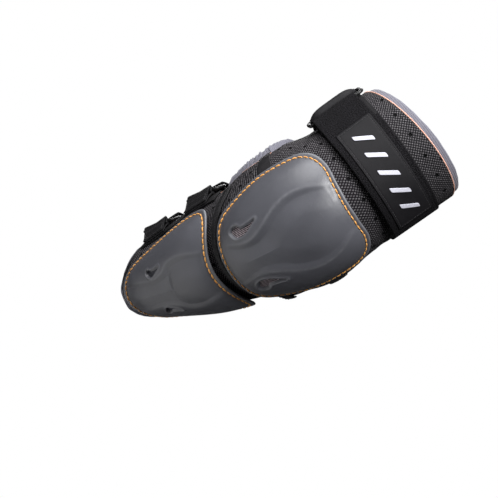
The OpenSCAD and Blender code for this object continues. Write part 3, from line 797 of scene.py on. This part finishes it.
# the forearm cap's vent floor uses the near-black painted-shade material
fore_spec = dict(half=FORE, mid=-112.0, R=43.0, flange=5.4, rise=6.0, lifted=False, seed=9, band=4.2, depth=1.8,
                 net=VENT_SHADE,
                 line=[(-172, 22, .2), (-158.5, 19.7, .5), (-146, 16.8, .65), (-132.5, 14.7, .6), (-122.3, 15, .75),
                       (-112.2, 18.5, 1), (-105.9, 24, 1), (-96.7, 26.1, .85), (-85.8, 25.4, .65), (-73, 22.5, .45), (-61, 18.6, .2)],
                 vent=[(-130, 17.2, 2.5), (-128, 15.9, 2.5), (-124.5, 16.2, 1.8), (-120.2, 17.4, 1.1), (-115.3, 18.8, .3)])
for nm, spec, body in (("elbow", elbow_spec, "elbow"), ("forearm", fore_spec, "forearm")):
    cap, thread = cap_patch(nm + "_cap_shell", spec)
    put(cap, body=body, stands_for=[nm + "_cap"])
    put(thread, body=body, stands_for=[nm + "_cap_stitching"])


def pad_piece(name, spec, rim, body, node_name):
    """Foam under a cap: crowned over the arm, with soft rolled edges."""
    spokes = 90
    e = outline(spec["half"], spec["R"], spokes)
    rows = np.concatenate([np.linspace(.01, rim, 26), np.full(5, rim), np.linspace(rim, .01, 14)])
    k = np.concatenate([np.ones(26), np.linspace(.8, .2, 5), np.zeros(14)])[:, None]
    roll = np.concatenate([np.zeros(26), np.sin(np.linspace(.2, .8, 5) * pi) * .012, np.zeros(14)])
    rho = (rows + roll)[:, None] + 0 * e[:, 0]
    s, ar = spec["mid"] + rho * (e[:, 0] - spec["mid"]), rho * e[:, 1]
    top = crown(spec, rho) - WALL - 1.0
    top = top * (1 - .45 * ease((rho - rim + .12) / .12)) + .3
    d = .8 + (top - .8) * k
    P = on(s, ar + TURN, d)
    U = np.stack([np.radians(ar) * spec["R"], s], -1)
    ob = grids(name, [(P, U, False, True, True)], FOAM)
    put(ob, body=body, stands_for=[node_name])
    return ob


pad_piece("elbow_foam", elbow_spec, .86, "elbow", "elbow_pad")
pad_piece("forearm_foam", fore_spec, .94, "forearm", "forearm_pad")

# ------------------------------------------------- binding, tapes, webbing
a = np.linspace(-71, 85, 170)
mid = -56.8 + 20 * (1 - cosd(a - TURN))
half = 2.5 + 1.9 * ease((np.abs(a - TURN) - 15) / 50)
f = np.linspace(0, 2 * pi, 29)[:-1]
cx, cz = np.sign(np.cos(f)) * np.abs(np.cos(f))**.75, np.sign(np.sin(f)) * np.abs(np.sin(f))**.8
fat = 1 + .06 * waves(a, 0 * a, 21, 9)
S = mid[:, None] + half[:, None] * cx * np.minimum(1, fat)[:, None]
dent = .18 * np.exp(-((np.abs(cx) - .62) / .1)**2) * (cz > 0)
D = 1.25 + cz * (.95 * fat + .12 * np.sin(a * 1.9))[:, None] - dent
D = np.maximum(D, .3) + gape(S, a[:, None])
U = np.stack([np.radians(a)[:, None] * 46 + 0 * S, S - mid[:, None] + (cz < 0) * 2.0], -1)
binding = grids("forearm_binding_tape", [(on(S, a[:, None], D), U, False, True, True)], TAPE)
put(binding, bend="lower", stands_for=["forearm_binding"])
for k, off in enumerate((-.62, .62)):
    row = mid + off * half
    th = seam_line(f"binding_stitches_{k}", row, a, 2.12 + gape(row, a), 2.6, 2.0, .2, THREAD, seed=30 + k)
    put(th, bend="lower")

tapes = []
for side in (-1, 1):
    a = np.linspace(66.5, 103.0, 44) * side
    f, o, h = section(18, .6)
    S = -10.2 + 11.6 * f[None] + o + 0 * a[:, None]
    soft = .16 * np.sin((S + 10.2) / 11.6 * pi) + .1 * waves(a[:, None], S, 41, 8)
    D = .5 + h + np.where(h > 0, soft, 0) + gape(S, a[:, None])
    U = np.stack(np.broadcast_arrays(np.radians(a)[:, None] * 48, S), -1)
    tapes.append((on(S, a[:, None], D), U, False, True, True))
tape = grids("seam_tapes_smooth", tapes, SEAM)
put(tape, body="elbow", stands_for=["seam_tapes"])

sides = []
for side in (-1, 1):
    s = np.linspace(-150, -57, 150)
    f, o, h = section(14, 1.15)
    A = side * 91 + (f - .5) * 18 + 0 * s[:, None]
    ridge = .28 * np.abs(np.sin(s * pi / 2.3))[:, None] * (h > 0)
    D = .3 + .58 + h + ridge
    U = np.stack(np.broadcast_arrays(s[:, None], (f - .5) * 14), -1)
    sides.append((on(s[:, None] + 0 * A, A, D), U, False, True, True))
side_web = grids("side_webbing_ribbed", sides, RIB)
put(side_web, body="forearm", stands_for=["side_webbing"])

# ------------------------------------------------------------------- straps
WEB_T, WIRE, RGAP = 1.4, 3.0, 9.0
WRAP = WIRE / 2 + .6 + WEB_T / 2
STEP = (RGAP + WIRE) / 2


def face_turn(s, a):
    return math.degrees(math.atan2(hermite(ST, HD, s) * sind(a), -hermite(ST, HW, s) * cosd(a)))


def round_bar(s, bar, q, r):
    m, ba, bd = bar
    cy, cz = centre(m)
    p, g = float(lean(m)), face_turn(m, ba)
    x = -(hermite(ST, HW, m) + bd) * sind(ba) + r * (sind(q) * cosd(g) - cosd(q) * sind(g))
    y = -(hermite(ST, HD, m) + bd) * cosd(ba) + r * (sind(q) * sind(g) + cosd(q) * cosd(g))
    z = s - m
    x, y, z = np.broadcast_arrays(x, y, z)
    return np.stack([x, cy + y * cosd(p) - z * sind(p), cz + y * sind(p) + z * cosd(p)], -1)


def arm_run(a0, bar, d0, side, n):
    """Stations on the arm from a0 up to a bar, over it (side 1) or under it (side -1)."""
    span = abs(bar[1] - a0)
    x = np.linspace(0, 1, n)[:-1]
    left = span * (1 - x)
    d = d0 + (bar[2] + side * WRAP - d0) * ease(1 - left / 26)
    return [("arm", a0 + (bar[1] - a0) * k, v, 1.0) for k, v in zip(x, d)]


def bar_run(bar, q0, q1, n, sign=1.0, r=WRAP):
    return [("bar", bar, q, r, sign) for q in np.linspace(q0, q1, n)]


def strap(name, rows, s0, s1, mat, n=22, round_ends=(True, True), thick=None, bow=None):
    """A flat web through stations, with rounded long edges and rounded ends."""
    f, o, h = section(n, WEB_T)
    ends = np.ones(len(rows))
    if round_ends[0]:
        ends[:3] = (.35, .75, .93)
    if round_ends[1]:
        ends[-3:] = (.93, .75, .35)
    P = []
    for k, st in enumerate(rows):
        tk = ends[k] * (thick(k / (len(rows) - 1)) if thick else 1.0)
        S = s0 + (s1 - s0) * f + o
        b = bow(k / (len(rows) - 1), f) if bow is not None else 0
        if st[0] == "arm":
            P.append(on(S, st[1], st[2] + st[3] * (h * tk + b)))
        else:
            P.append(round_bar(S, st[1], st[2], st[3] + st[4] * (h * tk + b)))
    P = np.array(P)
    mids = P.mean(1)
    u = np.concatenate([[0], np.cumsum(np.linalg.norm(np.diff(mids, axis=0), axis=1))])
    U = np.stack(np.broadcast_arrays(u[:, None], ((s1 - s0) * f + o)[None]), -1)
    return grids(name, [(P, U, False, True, True)], mat)


def ring(name, s, a, d, inner, mat):
    """A bent-wire ring with rounded corners, flat across the sleeve."""
    hx, hz, rc = RGAP / 2 + WIRE / 2, inner / 2 + WIRE / 2, 3.6
    pts = []
    for sx, sz, q0 in ((1, 1, 0), (-1, 1, 90), (-1, -1, 180), (1, -1, 270)):
        for q in np.linspace(q0, q0 + 90, 9):
            pts.append((sx * (hx - rc) + rc * cosd(q), sz * (hz - rc) + rc * sind(q)))
    pts = np.array(pts)
    q = np.concatenate([pts, pts[:1]])
    L = np.concatenate([[0], np.cumsum(np.linalg.norm(np.diff(q, axis=0), axis=1))])
    x = np.linspace(0, L[-1], 161)[:-1]
    pts = np.stack([np.interp(x, L, q[:, 0]), np.interp(x, L, q[:, 1])], -1)
    g, p = face_turn(s, a), float(lean(s))
    cy, cz = centre(s)
    bx = -(hermite(ST, HW, s) + d) * sind(a) + pts[:, 0] * cosd(g)
    by = -(hermite(ST, HD, s) + d) * cosd(a) + pts[:, 0] * sind(g)
    P = np.stack([bx, cy + by * cosd(p) - pts[:, 1] * sind(p), cz + by * sind(p) + pts[:, 1] * cosd(p)], -1)
    nx, ny = -sind(g), cosd(g)
    N = np.broadcast_to(np.array([nx, ny * cosd(p), ny * sind(p)], float), P.shape)
    fat = 1 + .12 * ease((np.abs(pts[:, 1]) - inner / 2 + 1.5) / 2)
    return grids(name, [tube(P, N, WIRE / 2 * fat, WIRE / 2 * (.92 + .35 * (fat - 1)), True, 18)], mat)


S0, S1, RING_S, RING_A, BAR_D = 42.5, 84.5, 63.5, 91.0, 5.6
near = (RING_S, RING_A - math.degrees(STEP / (float(hermite(ST, HW, RING_S)) + BAR_D)), BAR_D)
far = (RING_S, RING_A + math.degrees(STEP / (float(hermite(ST, HW, RING_S)) + BAR_D)), BAR_D)
LOW = .3 + WEB_T / 2
L0, L1 = 42.5, 80.5
LMID = .3 + WEB_T + 1.1 + .3 + .7 + WEB_T / 2

ob = strap("upper_strap_web", arm_run(-104, near, LOW, -1, 90) + bar_run(near, 180, 96, 12, -1), S0, S1, WEB,
           round_ends=(True, False))
put(ob, body="upper", stands_for=["upper_strap"])


def anchor_bow(x, f):
    """Past the ring the anchor strap sinks between its edges."""
    return -4.4 * (1 - np.abs(2 * np.clip(f, 0, 1) - 1)**5) * float(ease((x - .86) / .06))


ob = strap("upper_anchor_web", arm_run(252, far, LOW, -1, 90) + bar_run(far, -180, -30, 24, -1), S0 + .2, S1 - .4,
           LABEL, n=30, bow=anchor_bow)
put(ob, body="upper", stands_for=["upper_anchor_strap"])
ob = ring("upper_ring", RING_S, RING_A, BAR_D, 44, RING)
put(ob, body="upper", stands_for=["upper_strap_ring"])
ob = fabric("loop_field_pile", -60, 52.5, lambda a: S0 + 1 + 0 * a, lambda a: S1 - 1 + 0 * a, 1.9, 2.7, LOOP,
            n=26, da=1.6, push=lambda s, a: .12 * np.minimum(waves(a * 1.2, s, 51, 3), 0))
put(ob, body="upper", stands_for=["loop_field"])
ob = strap("label_fold_web", bar_run(near, 99, 4, 18, 1), L0, L1, LOOP, round_ends=(False, False))
tuple(float(v) / 1000 for v in round_bar(RING_S, near, 99, WRAP))
tuple(float(v) / 1000 for v in round_bar(RING_S, near, 4, WRAP))
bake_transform(ob)
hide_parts("label_fold")


tab = arm_run(-52.5, near, LMID, 1, 110) + [("bar", near, 0.0, WRAP, 1.0)]
ob = strap("label_tab_web", tab, L0, L1, LOOP, n=26, round_ends=(True, False),
           thick=lambda x: 1 + .28 * float(ease((.07 - x) / .03)))
put(ob, body="label", stands_for=["label_tab"])
ob = fabric("hook_patch_tape", -51, 1.5, lambda a: L0 + 1 + 0 * a, lambda a: L1 - 1 + 0 * a, LMID - WEB_T / 2 - .7,
            LMID - WEB_T / 2 - .2, HOOK, n=24, da=2)
put(ob, body="label", stands_for=["hook_patch"])
PA0, PA1, PS0, PS1 = -41.0, 55.0, L0 + 5.5, L1 - 2.5
PTOP = LMID + WEB_T / 2 + .85


def patch_push(s, a):
    u = np.minimum(s - PS0, PS1 - s)
    w = np.minimum(a - PA0, PA1 - a) * .98
    line = np.exp(-((np.minimum(u, w) - 1.7) / .55)**2)
    return -.22 * line * (np.minimum(u, w) > .2) + .08 * np.minimum(waves(a, s, 61, 14), 0)


ob = fabric("label_patch_cloth", PA0, PA1, lambda a: PS0 + 0 * a, lambda a: PS1 + 0 * a, PTOP - .7, PTOP, LABEL,
            n=60, da=1.0, push=patch_push)
put(ob, body="label", stands_for=["label_patch"])
e = 1.7
ea = e / .98
s_lo, s_hi, a_lo, a_hi = PS0 + e, PS1 - e, PA0 + ea, PA1 - ea
run_s = np.concatenate([np.full(80, s_lo), np.linspace(s_lo, s_hi, 24), np.full(80, s_hi),
                        np.linspace(s_hi, s_lo, 24)])
run_a = np.concatenate([np.linspace(a_lo, a_hi, 80), np.full(24, a_hi), np.linspace(a_hi, a_lo, 80),
                        np.full(24, a_lo)])
ob = seam_line("label_border_stitches", run_s, run_a, PTOP - .16, 2.3, 1.8, .2, THREAD, closed=True, seed=70)
put(ob, body="label")
# five slanted bars stand for the mark on the label
bars = []
for i in range(-2, 3):
    f, o, h = section(12, .5, 4)
    u = np.linspace(0, 1, 34)
    s = (L0 + 14 + 13 * u)[:, None]
    r = .8 * (1 - np.sqrt(np.clip(1 - ((np.abs(u - .5) - .5 + .06) / .06).clip(0, 1)**2, 0, 1)))[:, None]
    A = 10 + i * 16 + (4 - 2 * r) * f[None] + r + o - 9 * u[:, None]
    D = PTOP + .28 + h + 0 * s
    U = np.stack(np.broadcast_arrays(A, s), -1)
    bars.append((on(s + 0 * A, A, D), U, False, True, True))
ob = grids("label_bars_print", bars, PRINT)
put(ob, body="label", stands_for=["label_mark"])
# box stitching that holds the strap's sewn ends
for k, (sa, aa, dd, body) in enumerate((([44, 83, 83, 44], [-102, -102, -92, -92], LOW + WEB_T / 2, "upper"),
                                        ([44.5, 81, 81, 44.5], [250, 250, 240, 240], LOW + WEB_T / 2, "upper"))):
    ss = np.concatenate([np.linspace(sa[i], sa[(i + 1) % 4], 14)[:-1] for i in range(4)])
    qa = np.concatenate([np.linspace(aa[i], aa[(i + 1) % 4], 14)[:-1] for i in range(4)])
    ob = seam_line(f"strap_box_stitches_{k}", ss, qa, dd, 2.6, 2.1, .22, THREAD, closed=True, seed=80 + k)
    put(ob, body=body)

# forearm straps
FD, FW = 6.2, 28.0
for nm, sc in (("crook", -79.0), ("wrist", -132.0)):
    turn = math.degrees(STEP / (float(hermite(ST, HD, sc)) + FD))
    hold, pull = (sc, 112 - turn, FD), (sc, 112 + turn, FD)
    w = FW - 2
    back = []
    for x in np.linspace(0, 1, 26)[1:]:
        gone = x * (hold[1] - 85)
        back.append(("arm", hold[1] - gone, 3.95 + (FD + WRAP - 3.95) * float(ease(1 - gone / 17)), -1.0))
    runs = arm_run(84, hold, 2.3, -1, 26) + bar_run(hold, -180, 0, 20, -1) + back
    ob = strap(nm + "_anchor_web", runs, sc - w / 2, sc + w / 2, RIB)
    put(ob, body="forearm", stands_for=[nm + "_strap_anchor"])
    ob = ring(nm + "_ring", sc, 112.0, FD, FW + 2, RING)
    put(ob, body="forearm", stands_for=[nm + "_strap_ring"])
    runs = arm_run(264, pull, 2.3, -1, 90) + bar_run(pull, 180, 98, 12, -1)
    ob = strap(nm + "_band_web", runs, sc - FW / 2, sc + FW / 2, RIB, round_ends=(True, False))
    put(ob, body="forearm", stands_for=[nm + "_strap_band"])
    runs = arm_run(198, (pull[0], pull[1], FD + .3), 4.5, 1, 60) + bar_run(pull, 0, 90, 10, 1, WRAP + .15)
    ob = strap(nm + "_tab_web", runs, sc - FW / 2, sc + FW / 2, RIB, n=28,
               thick=lambda x: 1 + .3 * float(ease((.09 - x) / .04)),
               bow=lambda x, f: -.55 * np.abs(2 * np.clip(f, 0, 1) - 1)**3 + .12 * np.sin(x * 23 + f * 5))
    put(ob, body=nm + "_tab", stands_for=[nm + "_strap_tab"])
    ss = np.concatenate([np.linspace(sc - 11, sc + 11, 12), np.full(8, sc + 11.0),
                         np.linspace(sc + 11, sc - 11, 12), np.full(8, sc - 11.0)])
    qa = np.concatenate([np.full(12, 87.0), np.linspace(87, 95, 8), np.full(12, 95.0), np.linspace(95, 87, 8)])
    top = 3.95 + (FD + WRAP - 3.95) * ease(1 - (hold[1] - qa) / 17) + WEB_T / 2
    ob = seam_line(nm + "_anchor_stitches", ss, qa, top, 2.6, 2.1, .22, THREAD, closed=True, seed=90)
    put(ob, body="forearm")

# ------------------------------------------------------- floor, light, camera
floor_me = bpy.data.meshes.new("studio_floor")
F, FLOOR_Z = .42, -.78
floor_me.from_pydata([(-F, -F, FLOOR_Z), (F, -F, FLOOR_Z), (F, F, FLOOR_Z), (-F, F, FLOOR_Z)], [], [(0, 1, 2, 3)])
floor = bpy.data.objects.new("studio_floor", floor_me)
scene.collection.objects.link(floor)


def m_floor(t):
    n = noise(t, objmm(t, 10.0), .6, 2)
    return mixc(t, n, (.80, .80, .80), (.84, .84, .84)), None, n, .05, .3


floor_me.materials.append(material("studio_paper", (.82, .82, .82), .9, m_floor))

world = bpy.data.worlds.new("studio")
scene.world = world
world.use_nodes = True
wt = world.node_tree
bg = wt.nodes["Background"]
bg.inputs[0].default_value = (1, 1, 1, 1)
ray = node(wt, "LightPath")
wt.links.new(lin(wt, ray.outputs["Is Camera Ray"], 0, 1, .045, 1.0), bg.inputs[1])

AZ, EL, ROLL, DIST = math.radians(-17), math.radians(-3.9), math.radians(54.16), 1.145
LENS = 108.072
back = Vector((math.sin(AZ) * math.cos(EL), -math.cos(AZ) * math.cos(EL), math.sin(EL)))
fwd = -back
right = fwd.cross(Vector((0, 0, 1))).normalized()
up = right.cross(fwd)
r_ax = math.cos(ROLL) * right + math.sin(ROLL) * up
u_ax = -math.sin(ROLL) * right + math.cos(ROLL) * up
eye = back * DIST
target = -.0444 * r_ax - .0263 * u_ax
look = (target - eye).normalized()
r2 = look.cross(u_ax).normalized()
u2 = r2.cross(look)
rot = Matrix((r2, u2, -look)).transposed()
cam_data = bpy.data.cameras.new("camera")
cam_data.sensor_width = 36
cam_data.lens = LENS
cam_data.clip_start, cam_data.clip_end = .05, 20
cam = bpy.data.objects.new("camera", cam_data)
scene.collection.objects.link(cam)
cam.rotation_mode = "QUATERNION"
cam.rotation_quaternion = rot.to_quaternion()
cam.location = eye
scene.camera = cam


def softbox(name, direction, dist, size, power):
    d = direction.normalized()
    data = bpy.data.lights.new(name, "AREA")
    data.shape = "RECTANGLE"
    data.size, data.size_y = size
    data.energy = power
    ob = bpy.data.objects.new(name, data)
    scene.collection.objects.link(ob)
    ob.rotation_mode = "QUATERNION"
    ob.location = d * dist
    ob.rotation_quaternion = (-d).to_track_quat("-Z", "Y")


softbox("key", back * .80 + r_ax * .58 + u_ax * .42, 1.25, (.5, .5), 24)
softbox("top", back * .42 - r_ax * .08 + u_ax * .95, 1.3, (1.2, 1.2), 32)
softbox("behind", Vector((.10, .95, .30)), 1.5, (.9, .9), 16)
softbox("rim", -back * .7 + u_ax * .9 + r_ax * .3, 1.4, (.9, .5), 6)
scene.view_settings.view_transform = "Standard"
